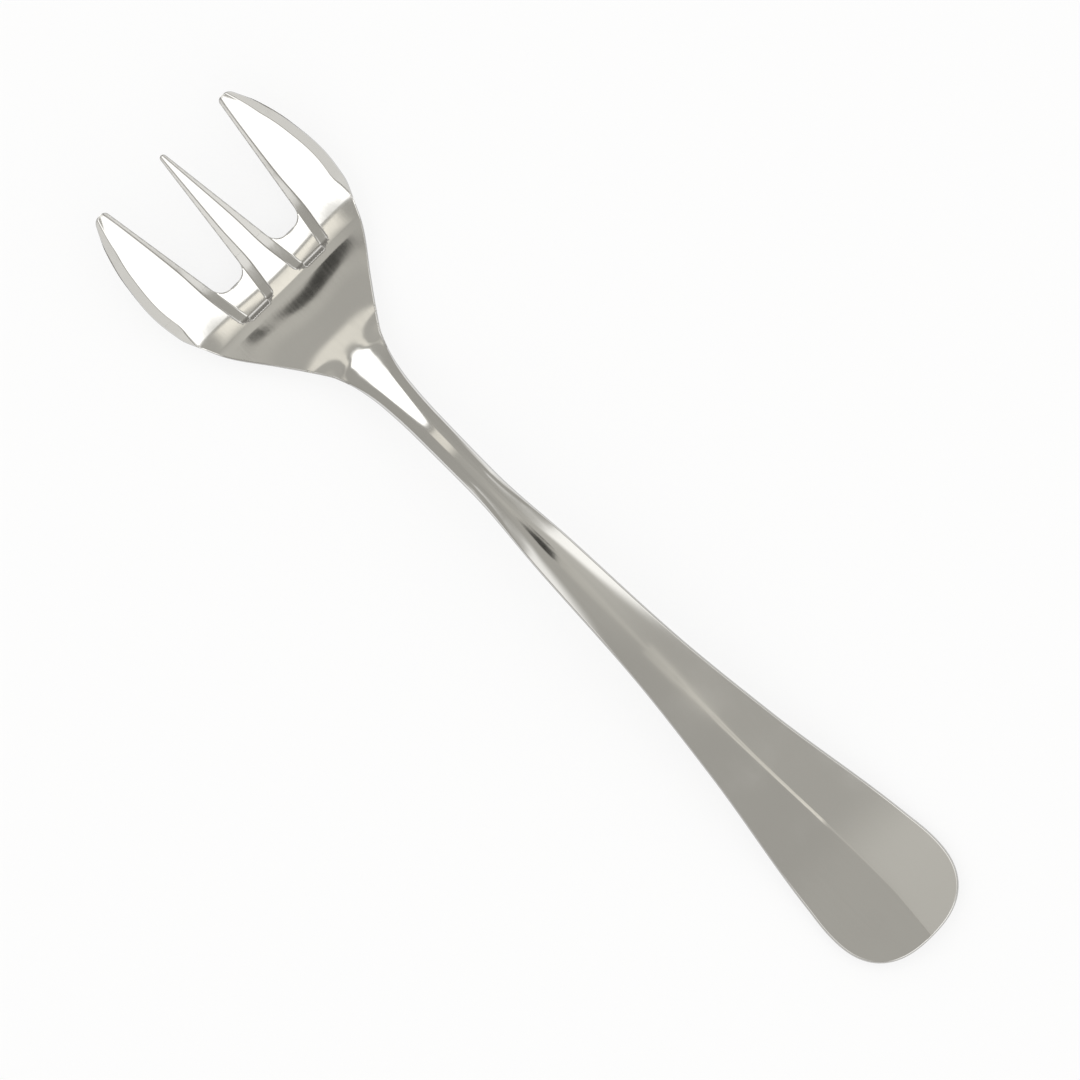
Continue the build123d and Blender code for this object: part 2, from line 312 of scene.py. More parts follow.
def monotone(points):
    """Return a smooth line through (station, value) points that never overshoots them."""
    steps = [(b[0] - a[0], (b[1] - a[1]) / (b[0] - a[0])) for a, b in zip(points, points[1:])]
    slopes = [steps[0][1]]
    for (before, low), (after, high) in zip(steps, steps[1:]):
        if low * high <= 0:
            slopes.append(0.0)
            continue
        weight = (before + 2 * after) / (3 * (before + after))
        slopes.append(low * high / (weight * high + (1 - weight) * low))
    slopes.append(steps[-1][1])
    return Profile([(s, value, slope) for (s, value), slope in zip(points, slopes)])


def outline_points():
    """Return (station, half width) points along the fork, as if the handle ran on past its end."""
    points = []
    for (s0, width0, shares), (s1, width1, _) in zip(WIDTHS, WIDTHS[1:]):
        for way, change in [(0, 0)] + shares:
            points.append((s0 + way * (s1 - s0), (width0 + change * (width1 - width0)) / 2))
    points.append((WIDTHS[-1][0], WIDTHS[-1][1] / 2))
    return points


half_width = monotone(outline_points())


def head_share(s):
    """Return the square of the width's share of the head's widest."""
    return (2 * half_width(s) / HEAD_WIDTH)**2


def handle_share(s):
    """Return the width's share of the handle's widest."""
    return 2 * half_width(s) / HANDLE_WIDTH


rim_fall = monotone(
    [(s, -DISH * head_share(s)) for s in (0.0, BULGE, BEND, LIP, HEEL_FOOT)]
    + [(HEEL_TOP, NECK_CROWN), (WAIST, NECK_CROWN), (CREST, CREST_CROWN)]
    + [(s, RIDGE * handle_share(s)) for s in (SHOULDER, FLANK, WIDEST)]
    + [(LENGTH, RIDGE * handle_share(WIDEST))])
tongue = monotone([(PALM_LOW, 0.0), (LIP, 1.0), (HEEL, 1.0), (HEEL_TOP, 0.0), (WAIST, 0.0)])
roof = monotone([(WAIST, 0.0), (CREST, 0.0), (SHOULDER, 0.5), (FLANK, 1.0), (LENGTH, 1.0)])
belly = monotone(
    [(s, HEAD_BELLY * head_share(s)) for s in (0.0, BULGE, BEND, LIP)]
    + [(LOWER_NECK, NECK_BELLY), (WAIST, NECK_BELLY), (SHOULDER, NECK_BELLY / 2)]
    + [(FLANK, 0.0), (LENGTH, 0.0)])
rim_thickness = monotone([
    (0.0, TIP_RIM), (SLOT_END, HEAD_RIM), (LIP, HEAD_RIM), (LOWER_NECK, NECK_RIM), (WAIST, NECK_RIM),
    (SHOULDER, HANDLE_RIM), (LENGTH, HANDLE_RIM)])
ridge_bow = monotone([(SHOULDER, 0.0), (BOW_START, 0.0), (WIDEST, -RIDGE_BOW), (LENGTH, -END_BOW)])
bevel = monotone([
    (0.0, 0.5), (BEVEL_FULL, BEVEL_DEPTH), (SLOT_END - SLOT_CORNER, BEVEL_DEPTH), (BEND, -CLEAR)])
flute = monotone([(0.0, 0.2), (MID_TINE, 0.5), (SLOT_END, 0.8), (FLUTE_FULL, 0.75), (FLUTE_END, -CLEAR)])


def thickness(s):
    """Return the thickness on the centre line."""
    return rim_thickness(s) + rim_fall(s) + belly(s)


def rise(line):
    """Return the height gained along (station, slope) points whose slopes change evenly."""
    return sum((b[0] - a[0]) * (a[1] + b[1]) / 2 for a, b in zip(line, line[1:]))


def sloped(rakes):
    """Return (station, slope) points from (station, rake in degrees) points."""
    return [(s, math.tan(math.radians(rake))) for s, rake in rakes]


def centre_line():
    """Return the centre line of the upper face, set so that the palm and the handle touch the table."""
    front = sloped(FRONT_RAKES)
    neck = sloped(NECK_RAKES)
    fall = thickness(PALM_LOW) + rise(neck) - thickness(REST)
    glide = fall / ((FLANK - SHOULDER + REST - CREST) / 2)
    handle = [(SHOULDER, -glide), (FLANK, -glide)] + sloped([(REST, 0.0), (LENGTH, END_RAKE)])
    line = front + neck[1:] + handle
    start = thickness(PALM_LOW) - rise(front)
    return Profile([(s, start + rise(line[:i + 1]), slope) for i, (s, slope) in enumerate(line)])


centre_height = centre_line()


def slot_inner(s):
    """Return the Y of a slot's side on the middle tine."""
    return (MIDDLE_TIP + (MIDDLE_ROOT - MIDDLE_TIP) * s / SLOT_END) / 2


def slot_outer(s):
    """Return the Y of a slot's side on the outer tine."""
    return slot_inner(s) + SLOT_MOUTH + (SLOT_FLOOR - SLOT_MOUTH) * s / SLOT_END


def lower_of(a, b, soft):
    """Return the lower of two faces with the edge between them softened, and how near that edge is."""
    near = np.clip(1 - np.abs(a - b) / soft, 0, 1)
    return np.minimum(a, b) - soft * near**2 / 4, near


def softened(y, soft):
    """Return the distance from the middle, rounded off close to it."""
    return (y * y + soft * soft)**0.5 - soft


def crowned(u, bell):
    """Return how much of the rim's fall is made at a share of the half width."""
    return u * u * (1.0 + bell * (1.0 - u))


def plain_top(s, y, soft):
    """Return the height of the upper face before it is bevelled and fluted."""
    bow = ridge_bow(s) * (s > SHOULDER)
    out = y - bow
    half = half_width(s) - np.sign(out) * bow
    u = softened(out, soft) / half
    crown = crowned(u, TONGUE_BELL * tongue(s))
    return centre_height(s) - rim_fall(s) * (crown + roof(s) * (u - crown))


def top_face(s, y, settings):
    """Return the height of the upper face and how near each point is to one of its edges."""
    edge_soft = settings.edge_soft / MM
    ridge_soft = settings.ridge_soft / MM
    plain = plain_top(s, y, ridge_soft)
    front = np.minimum(s, PALM_LOW)
    across = np.abs(y)
    rim = half_width(front)
    slant = plain_top(front, rim, ridge_soft) - bevel(front) + (rim - across) * BEVEL_PITCH
    inner = slot_inner(front)
    outer = slot_outer(front)
    inner_floor = plain_top(front, inner, ridge_soft) - flute(front)
    outer_floor = plain_top(front, outer, ridge_soft) - flute(front)
    floor = inner_floor + (outer_floor - inner_floor) * (across - inner) / (outer - inner)
    channel = floor
    for wall in (inner_floor + (inner - across) * FLUTE_PITCH, outer_floor + (across - outer) * FLUTE_PITCH):
        channel = -lower_of(-channel, -wall, edge_soft)[0]
    height, bevel_edge = lower_of(plain, slant, edge_soft)
    run_out = np.clip((front - FLUTE_FULL) / RUN_OUT, 0, 1) * (channel < height)
    height, flute_edge = lower_of(height, channel, edge_soft)
    cut = s < PALM_LOW
    edge = np.where(cut, np.maximum.reduce([bevel_edge, flute_edge, run_out]), 0.0)
    return np.where(cut, height, plain), edge


def bottom_face(s, y):
    """Return the height of the lower face."""
    return centre_height(s) - thickness(s) + belly(s) * (y / half_width(s))**2


def slopes(face, s, y):
    """Return the slopes of a face along X and across the fork."""
    along = (face(s - SLOPE_STEP, y) - face(s + SLOPE_STEP, y)) / (2 * SLOPE_STEP)
    across = (face(s, y + SLOPE_STEP) - face(s, y - SLOPE_STEP)) / (2 * SLOPE_STEP)
    return along, across


def spread(first, last, step):
    """Return values from first to last, evenly spaced by about a step."""
    return np.linspace(first, last, max(math.ceil(abs(last - first) / step), 1) + 1)


def side(first, last, width):
    """Return the points of a side of the plan from one station to another."""
    stations = spread(first, last, RIM_STEP)
    return np.column_stack([stations, width(stations)])


def corner(start, tip, end):
    """Return the points of an arc that rounds a corner, without its two ends."""
    start, tip, end = np.array([start, tip, end])
    half_chord = np.linalg.norm(end - start) / 2
    weight = half_chord / np.linalg.norm(tip - start)
    t = np.linspace(0, 1, CORNER_STEPS + 1)[1:-1, None]
    shares = ((1 - t)**2, 2 * weight * t * (1 - t), t**2)
    return (shares[0] * start + shares[1] * tip + shares[2] * end) / sum(shares)


def mirrored(run):
    """Return a run of points on the other side of the fork, still going round the same way."""
    return (run * (1, -1))[::-1]


def outer_tine_rim():
    """Return the rim of the left tine, from the seam round the tip and back."""
    inner_corner = (0.0, slot_outer(0.0))
    outer_corner = (0.0, half_width(0.0))
    inner_side = side(TINE_SEAM + RIM_STEP, INNER_TIP_CORNER, slot_outer)
    tip = np.array([(0.0, inner_corner[1] + INNER_TIP_CORNER), (0.0, outer_corner[1] - OUTER_TIP_CORNER)])
    outer_side = side(OUTER_TIP_CORNER, TINE_SEAM + RIM_STEP, half_width)
    return np.vstack([
        inner_side, corner(inner_side[-1], inner_corner, tip[0]), tip,
        corner(tip[1], outer_corner, outer_side[0]), outer_side])


def middle_tine_rim():
    """Return the rim of the middle tine, from the seam round the tip and back."""
    back = side(MIDDLE_TIP_CORNER, TINE_SEAM + RIM_STEP, slot_inner)
    tip = (0.0, slot_inner(0.0))
    flat = (0.0, 0.0)
    half = np.vstack([[flat], corner(flat, tip, back[0]), back])
    return np.vstack([mirrored(half), half[1:]])


def slot_rim():
    """Return the rim of the left slot inside the head, from the middle tine to the left one."""
    inner_side = side(TINE_SEAM - RIM_STEP, SLOT_END - SLOT_CORNER, slot_inner)
    outer_side = side(SLOT_END - SLOT_CORNER, TINE_SEAM - RIM_STEP, slot_outer)
    inner_corner = np.array((SLOT_END, slot_inner(SLOT_END)))
    outer_corner = np.array((SLOT_END, slot_outer(SLOT_END)))
    floor = np.array([inner_corner + (0, SLOT_CORNER), outer_corner - (0, SLOT_CORNER)])
    return np.vstack([
        inner_side, corner(inner_side[-1], inner_corner, floor[0]), floor,
        corner(floor[1], outer_corner, outer_side[0]), outer_side])


def handle_rim():
    """Return the rim of the handle, from the seam on its right round the end to the seam on its left."""
    straight = side(WAIST - RIM_STEP, WIDEST, half_width)
    reach = LENGTH - WIDEST
    turns = np.linspace(0, math.pi / 2, END_SAMPLES)
    power = 2 / END_FULLNESS
    curve = np.column_stack([
        WIDEST + reach * np.sin(turns)**power, HANDLE_WIDTH / 2 * np.cos(turns)**power])
    walk = np.concatenate([[0], np.cumsum(np.linalg.norm(np.diff(curve, axis=0), axis=1))])
    even = spread(0, walk[-1], RIM_STEP)[1:]
    end = np.column_stack([np.interp(even, walk, curve[:, 0]), np.interp(even, walk, curve[:, 1])])
    half = np.vstack([straight, end])
    return np.vstack([half[:-1], mirrored(half)])


class Plan:
    """The flat plan of one zone, as points with the turn and the outward direction of its rim."""

    def __init__(self, rims, settings):
        self.points = []
        self.turns = []
        self.outward = []
        self.rounds = []
        self.loop = []
        self.rim_edges = set()
        rows = [self.add_rim(rim, settings) for rim in rims]
        for row, following in zip(rows, rows[1:] + rows[:1]):
            self.loop += row[0]
            self.rim_edges.update(zip(row[0], row[0][1:]))
            near = [ring[-1] for ring in row[1:]]
            far = [ring[0] for ring in reversed(following[1:])]
            self.loop += near + self.add_seam(near[-1], far[0]) + far

    def add(self, point, turn=0.0, outward=(0.0, 0.0), radius=0.0):
        """Add a point and return its number."""
        self.points.append(tuple(point))
        self.turns.append(turn)
        self.outward.append(tuple(outward))
        self.rounds.append(radius)
        return len(self.points) - 1

    def add_rim(self, rim, settings):
        """Add the rows of points that round a rim, outermost first. The rim's end points only aim it."""
        direction = rim[2:] - rim[:-2]
        direction /= np.linalg.norm(direction, axis=1)[:, None]
        outward = np.column_stack([-direction[:, 1], direction[:, 0]])
        points = rim[1:-1]
        blend = np.clip((points[:, 0] - BEND) / (NECK_FOOT - BEND), 0, 1)
        radius = (settings.tine_round + (settings.rim_round - settings.tine_round) * blend) / MM
        inward = -outward
        for end in (0, -1):
            inward[end] = (0.0, -1 / outward[end][1])
        rows = []
        for turn in np.linspace(math.pi / 2, 0, RING_COUNT):
            depth = radius * (1 - math.sin(turn))
            ring = points + inward * depth[:, None]
            rows.append([self.add(*row) for row in zip(ring, [turn] * len(ring), outward, radius)])
        return rows

    def add_seam(self, first, last):
        """Add the points of a seam between two points on it and return their numbers."""
        station, start = self.points[first]
        ys = spread(start, self.points[last][1], SEAM_STEP)[1:-1]
        return [self.add((station, y)) for y in ys]

    def inside(self, points):
        """Return which points lie inside the plan."""
        ring = np.array([self.points[i] for i in self.loop])
        result = np.zeros(len(points), bool)
        for (s0, y0), (s1, y1) in zip(ring, np.roll(ring, -1, axis=0)):
            if s0 == s1:
                continue
            crossing = (s0 > points[:, 0]) != (s1 > points[:, 0])
            result ^= crossing & (points[:, 1] < y0 + (y1 - y0) * (points[:, 0] - s0) / (s1 - s0))
        return result

    def fill(self, candidates, gap):
        """Add those candidate points that lie inside and at least a gap from all the points so far."""
        tree = KDTree(len(self.points))
        for i, (s, y) in enumerate(self.points):
            tree.insert((s, y, 0), i)
        tree.balance()
        for s, y in candidates[self.inside(candidates)]:
            if tree.find((s, y, 0))[2] > gap:
                self.add((s, y))

    def loop_edges(self):
        """Return the edges round the plan."""
        return list(zip(self.loop, self.loop[1:] + self.loop[:1]))

    def face_normals(self, face, up):
        """Return the normals of an upper or a lower face at the points, turned outward round the rims."""
        s, y = np.array(self.points).T
        out_s, out_y = np.array(self.outward).T
        turn = np.array(self.turns)[:, None]
        slope_x, slope_y = slopes(face, s, y)
        tilt = np.column_stack([-up * slope_x, -up * slope_y, np.full(len(s), up)])
        rim = np.column_stack([-out_s, out_y, np.zeros(len(s))])
        total = tilt * np.cos(turn) + rim * np.sin(turn)
        return total / np.linalg.norm(total, axis=1)[:, None]

    def wall_normals(self, i, j):
        """Return the normals at both ends of an edge round the plan: outward on a rim, along X on a seam."""
        if (i, j) in self.rim_edges:
            return [(-self.outward[k][0], self.outward[k][1], 0.0) for k in (i, j)]
        return [(math.copysign(1.0, self.points[j][1] - self.points[i][1]), 0.0, 0.0)] * 2

    def triangles(self):
        """Return the triangles that fill the plan."""
        corners = [(-s, y) for s, y in self.points]
        _, _, faces, origins, _, _ = delaunay_2d_cdt(corners, self.loop_edges(), [], 1, MERGE_DISTANCE)
        if len(origins) != len(corners):
            raise RuntimeError("the plan's triangles do not use its points one for one")
        return [[origins[i][0] for i in face] for face in faces]


def edge_line(s, foot, depth, slant):
    """Return the Y where a cut of a given depth at its foot slants up to the upper face."""
    y = foot
    for _ in range(EDGE_PASSES):
        y = foot + (depth + plain_top(s, y, 0.0) - plain_top(s, foot, 0.0)) / slant
    return y


def feature_points(first, last):
    """Return points along the edges of the faces between two stations."""
    stations = spread(first, last, EDGE_STEP)
    front = stations[stations < FLUTE_END]
    inner = slot_inner(front)
    outer = slot_outer(front)
    edges = [
        edge_line(front, half_width(front), bevel(front), -BEVEL_PITCH),
        edge_line(front, outer, flute(front), FLUTE_PITCH),
        edge_line(front, inner, flute(front), -FLUTE_PITCH),
        inner,
        outer,
    ]
    found = []
    for offset in EDGE_OFFSETS:
        for edge in edges:
            for sign in (-1, 1):
                found.append(np.column_stack([front, sign * (edge + offset)]))
    back = stations[stations > CREST]
    for offset in RIDGE_OFFSETS:
        found.append(np.column_stack([back, ridge_bow(back) + offset]))
    for start, end in ((BEND_START, PALM_LOW), (LIP, NECK_FOOT)):
        for station in spread(start, end, BEND_STEP):
            if first < station < last:
                ys = spread(-half_width(station), half_width(station), FINE_STEP)
                found.append(np.column_stack([np.full(len(ys), station), ys]))
    return np.vstack(found)


def grid_points(first, last, step):
    """Return a grid of points between two stations."""
    reach = HEAD_WIDTH / 2
    stations, ys = np.meshgrid(spread(first, last, step), spread(-reach, reach, step))
    return np.column_stack([stations.ravel(), ys.ravel()])


def set_in_place(piece, node):
    """Let a skin stand for its node."""
    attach(piece, BODY)
    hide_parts(node)


def forge(context, node, rims, first, last, step):
    """Skin one zone from its rims, between two stations, in place of its solid."""
    settings = context.scene.fork_forge
    plan = Plan(rims, settings)
    plan.fill(feature_points(first, last), EDGE_GAP)
    plan.fill(grid_points(first, last, step), step * GRID_GAP)
    s, y = np.array(plan.points).T
    turn = np.array(plan.turns)
    drop = np.array(plan.rounds) * (1 - np.cos(turn))
    top, edge = top_face(s, y, settings)
    bottom = bottom_face(s, y)
    along = LENGTH / 2 - s
    corners = np.vstack([np.column_stack([along, y, top - drop]), np.column_stack([along, y, bottom + drop])])
    count = len(s)
    upper = plan.triangles()
    lower = [[i + count for i in reversed(face)] for face in upper]
    top_normals = plan.face_normals(lambda a, b: top_face(a, b, settings)[0], 1)
    bottom_normals = plan.face_normals(bottom_face, -1)
    loop_normals = [top_normals[i] for face in upper for i in face]
    loop_normals += [bottom_normals[i - count] for face in lower for i in face]
    walls = []
    for i, j in plan.loop_edges():
        walls.append([i, i + count, j + count, j])
        start, end = plan.wall_normals(i, j)
        loop_normals += [start, start, end, end]
    mesh = bpy.data.meshes.new(f"{node}_skin")
    mesh.from_pydata((corners * MM).tolist(), [], upper + lower + walls)
    mesh.polygons.foreach_set("use_smooth", [True] * len(mesh.polygons))
    mesh.normals_split_custom_set(loop_normals)
    rounded = np.sin(turn)
    # How near each corner is to a rim or an edge: the steel roughens there with wear and darkens with painted
    # shade.
    edge_nearness = np.concatenate([np.maximum(edge, rounded), rounded])
    mesh.attributes.new("edge", "FLOAT", "POINT").data.foreach_set("value", edge_nearness)
    mesh.materials.append(get_steel(context.scene.fork_steel))
    piece = bpy.data.objects.new(f"{node}_skin", mesh)
    context.scene.collection.objects.link(piece)
    set_in_place(piece, node)


class Value:
    """A socket of a node tree that Python's operators turn into Math nodes."""

    def __init__(self, kit, socket):
        self.kit = kit
        self.socket = socket

    def math(self, operation, *values):
        """Return the result of a Math node on this value and others."""
        return self.kit.add("ShaderNodeMath", {"operation": operation}, dict(enumerate((self, *values))))

    def __add__(self, other):
        return self.math("ADD", other)

    __radd__ = __add__

    def __sub__(self, other):
        return self.math("SUBTRACT", other)

    def __rsub__(self, other):
        return self * -1.0 + other

    def __mul__(self, other):
        return self.math("MULTIPLY", other)

    __rmul__ = __mul__

    def __truediv__(self, other):
        return self.math("DIVIDE", other)

    def __rtruediv__(self, other):
        return self.math("POWER", -1.0) * other

    def __neg__(self):
        return self * -1.0

    def __pow__(self, other):
        return self.math("POWER", other)

    def ramp(self, low, high):
        """Return 0 up to low, 1 from high and an even change between."""
        return self.kit.add("ShaderNodeMapRange", {}, {"Value": self, "From Min": low, "From Max": high})

    def along(self, profile, first, last):
        """Return a profile's value where this value is the station, for stations between two."""
        points = profile.part(first, last)
        total = points[0][1]
        for (s0, value0, slope0), (s1, value1, slope1) in zip(points, points[1:]):
            t = self.ramp(s0, s1)
            rest = 1.0 - t
            swing = t * rest * (slope0 * rest - slope1 * t)
            total = total + (value1 - value0) * t * t * (3.0 - 2.0 * t) + (s1 - s0) * swing
        return total

    def step(self, low, high):
        """Return 0 up to low, 1 from high and a smooth change between."""
        return self.kit.add(
            "ShaderNodeMapRange", {"interpolation_type": "SMOOTHSTEP"},
            {"Value": self, "From Min": low, "From Max": high})

    def band(self, low, high, soft):
        """Return 1 between low and high and 0 beyond, with soft borders."""
        return self.step(low - soft, low + soft) * (1.0 - self.step(high - soft, high + soft))


class Kit:
    """Adds nodes to one tree."""

    def __init__(self, tree):
        self.tree = tree
        tree.nodes.clear()

    def add(self, kind, settings=None, inputs=None, output=0):
        """Add a node, give it its settings, then its sockets' values or links, and return one output."""
        node = self.tree.nodes.new(kind)
        for name, value in (settings or {}).items():
            setattr(node, name, value)
        for name, value in (inputs or {}).items():
            if isinstance(value, Value):
                self.tree.links.new(value.socket, node.inputs[name])
            else:
                node.inputs[name].default_value = value
        return Value(self, node.outputs[output]) if node.outputs else node

    def mix_colors(self, share, first, second):
        """Return a mix of two colours. The Mix node's colour sockets share their names with its others."""
        sockets = {0: share, 6: (*first, 1.0), 7: (*second, 1.0)}
        return self.add("ShaderNodeMix", {"data_type": "RGBA"}, sockets, output=2)


def get_steel(settings):
    """Return the polished steel: hairlines along the fork, handling smudges, and edges roughened by wear and
    darkened with painted shade.
    """
    name = "polished_steel"
    if name in bpy.data.materials:
        return bpy.data.materials[name]
    material = bpy.data.materials.new(name)
    material.use_nodes = True
    kit = Kit(material.node_tree)
    place = kit.add("ShaderNodeTexCoord", output="Object")
    lengthwise = kit.add("ShaderNodeMapping", {}, {"Vector": place, "Scale": LINE_SCALE})
    lines = kit.add("ShaderNodeTexNoise", {}, {"Vector": lengthwise, "Scale": 1.0, "Detail": 3.0})
    clouds = kit.add("ShaderNodeTexNoise", {}, {"Vector": place, "Scale": CLOUD_SCALE, "Detail": 4.0})
    edge = kit.add("ShaderNodeAttribute", {"attribute_name": "edge"}, output="Fac")
    marks = clouds.step(0.45, 0.75)
    roughness = (
        settings.roughness + settings.hairline * lines + settings.smudge * marks + settings.wear * edge)
    # The hairlines and smudges tint the steel at random; the darkening along the rims and edges is painted
    # shade.
    dullness_and_rim_shade = LINE_DULLNESS * lines + CLOUD_DULLNESS * marks + EDGE_PAINTED_SHADE * edge
    color = kit.mix_colors(dullness_and_rim_shade, settings.color, settings.tarnish_and_rim_shade)
    relief = {"Strength": LINE_RELIEF, "Distance": LINE_DEPTH, "Height": lines}
    bump = kit.add("ShaderNodeBump", {}, relief, output="Normal")
    steel = kit.add("ShaderNodeBsdfPrincipled", {}, {
        "Base Color": color,
        "Metallic": 1.0,
        "Roughness": roughness,
        "Normal": bump,
    })
    kit.add("ShaderNodeOutputMaterial", {}, {"Surface": steel})
    return material


def make_neck_nodes():
    """Return the nodes that sweep the neck's section along its arch, by the same rules as the other zones."""
    tree = bpy.data.node_groups.new("round_neck", "GeometryNodeTree")
    for name, kind in NECK_INPUTS.items():
        tree.interface.new_socket(name, in_out="INPUT", socket_type=kind)
    tree.interface.new_socket("Neck", in_out="OUTPUT", socket_type="NodeSocketGeometry")
    kit = Kit(tree)
    first, last, radius, soft, rings, count, steel = (
        kit.add("NodeGroupInput", output=name) for name in NECK_INPUTS)

    def store(geometry, name, value):
        sockets = {"Geometry": geometry, "Name": name, "Value": value}
        return kit.add("GeometryNodeStoreNamedAttribute", {}, sockets)

    def stored(name):
        return kit.add("GeometryNodeInputNamedAttribute", {}, {"Name": name})

    line = kit.add("GeometryNodeCurvePrimitiveLine")
    path = kit.add("GeometryNodeResampleCurve", {}, {"Curve": line, "Count": rings})
    path = store(path, "way_along", kit.add("GeometryNodeSplineParameter", output="Factor"))
    ring = kit.add("GeometryNodeCurvePrimitiveCircle", {}, {"Resolution": count})
    ring = store(ring, "way_round", (kit.add("GeometryNodeInputIndex") + 0.5) / count)
    tube = kit.add("GeometryNodeCurveToMesh", {}, {"Curve": path, "Profile Curve": ring, "Fill Caps": True})

    station = first + (last - first) * stored("way_along")
    way = 2.0 * stored("way_round")
    is_top = way.math("LESS_THAN", 1.0)
    share = (2.0 * (way - 1.0).math("ABSOLUTE") - 1.0) / (1.0 - 2.0 / count)
    reach = share.math("ABSOLUTE")
    turn = math.pi / 2 * reach.ramp(1.0 - RIM_SHARE, 1.0)
    edge_nearness = turn.math("SINE")
    drop = radius * (1.0 - turn.math("COSINE"))

    half, middle, fall, bell, sag, rim = (
        station.along(profile, NECK_SEAM, WAIST)
        for profile in (half_width, centre_height, rim_fall, tongue, belly, rim_thickness))
    y = share.math("SIGN") * ((half - radius) * reach.ramp(0.0, 1.0 - RIM_SHARE) + radius * edge_nearness)
    top = middle - fall * crowned(softened(y, soft) / half, TONGUE_BELL * bell)
    bottom = middle - (rim + fall + sag) + sag * (y / half)**2.0
    z = is_top * (top - drop) + (1.0 - is_top) * (bottom + drop)
    place = kit.add("ShaderNodeCombineXYZ", {}, {
        "X": MM * (LENGTH / 2 - station),
        "Y": MM * y,
        "Z": MM * z,
    })
    neck = kit.add("GeometryNodeSetPosition", {}, {"Geometry": tube, "Position": place})
    neck = kit.add("GeometryNodeFlipFaces", {}, {"Mesh": neck})
    # The steel roughens the rims by this share and darkens them with painted shade.
    neck = store(neck, "edge", edge_nearness)
    for name in ("way_along", "way_round"):
        neck = kit.add("GeometryNodeRemoveAttribute", {}, {"Geometry": neck, "Name": name})
    sharp = kit.add("GeometryNodeInputMeshEdgeAngle").math("GREATER_THAN", SEAM_ANGLE)
    neck = kit.add("GeometryNodeSetShadeSmooth", {"domain": "EDGE"}, {
        "Geometry": neck,
        "Selection": sharp,
        "Shade Smooth": False,
    })
    neck = kit.add("GeometryNodeRealizeInstances", {}, {"Geometry": neck})
    neck = kit.add("GeometryNodeSetMaterial", {}, {"Geometry": neck, "Material": steel})
    kit.add("NodeGroupOutput", {}, {"Neck": neck})
    return tree


def make_floor_paper(settings):
    """Return the floor's paper, which the camera and the steel see as near white with a soft shadow."""
    material = bpy.data.materials.new("floor_paper")
    material.use_nodes = True
    kit = Kit(material.node_tree)
    camera = kit.add("ShaderNodeLightPath", output="Is Camera Ray")
    glossy = kit.add("ShaderNodeLightPath", output="Is Glossy Ray")
    passing = kit.add("ShaderNodeLightPath", output="Is Transmission Ray")
    paper = kit.add("ShaderNodeBsdfDiffuse", {}, {"Color": (0.94, 0.94, 0.935, 1.0)})
    glow = kit.add("ShaderNodeEmission", {}, {"Color": (1.0, 1.0, 1.0, 1.0), "Strength": 1.0})
    share = (camera + glossy + passing) * settings.floor_glow
    surface = kit.add("ShaderNodeMixShader", {}, {0: share, 1: paper, 2: glow})
    kit.add("ShaderNodeOutputMaterial", {}, {"Surface": surface})
    return material


